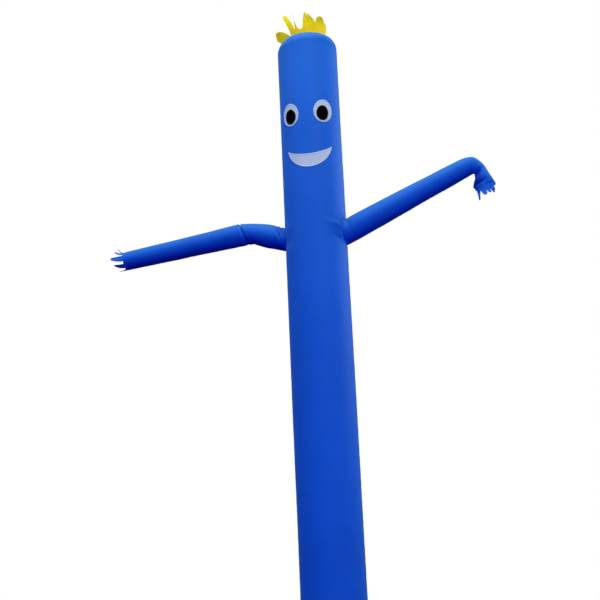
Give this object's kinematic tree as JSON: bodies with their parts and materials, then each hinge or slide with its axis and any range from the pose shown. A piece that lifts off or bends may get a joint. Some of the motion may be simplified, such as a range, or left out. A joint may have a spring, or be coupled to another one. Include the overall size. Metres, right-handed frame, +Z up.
{
  "type": "inflatable air dancer",
  "caption": "Tall blown-up cloth tube figure with an open crown, flame-cut hair, a sewn smiling face and two slender open-ended sleeves with cut fingers.",
  "frame": {"origin": "on the floor, under the middle of the whole figure's box", "axes": "+Z up along the trunk, the face looks along -Y, the bent sleeve with the limp hand reaches along +X"},
  "size_m": [2.9478, 0.4658, 6.1445],
  "materials": {
    "blue_cloth": "thin ripstop polyester, royal blue, slight sheen",
    "white_cloth": "thin white polyester with blue cloth showing through",
    "black_cloth": "thin black polyester",
    "yellow_cloth": "thin ripstop polyester, bright yellow, sheer"
  },
  "bodies": {
    "root": {"trunk_front": "blue_cloth", "trunk_back": "blue_cloth", "crown": "blue_cloth", "sleeve_right": "blue_cloth", "fingers_right": "blue_cloth", "sleeve_left_upper": "blue_cloth", "sleeve_left_fore": "blue_cloth", "fingers_left": "blue_cloth", "eye_left": "white_cloth", "eye_right": "white_cloth", "mouth": "white_cloth", "pupil_left": "black_cloth", "pupil_right": "black_cloth", "hair": "yellow_cloth"}
  },
  "joints": []
}
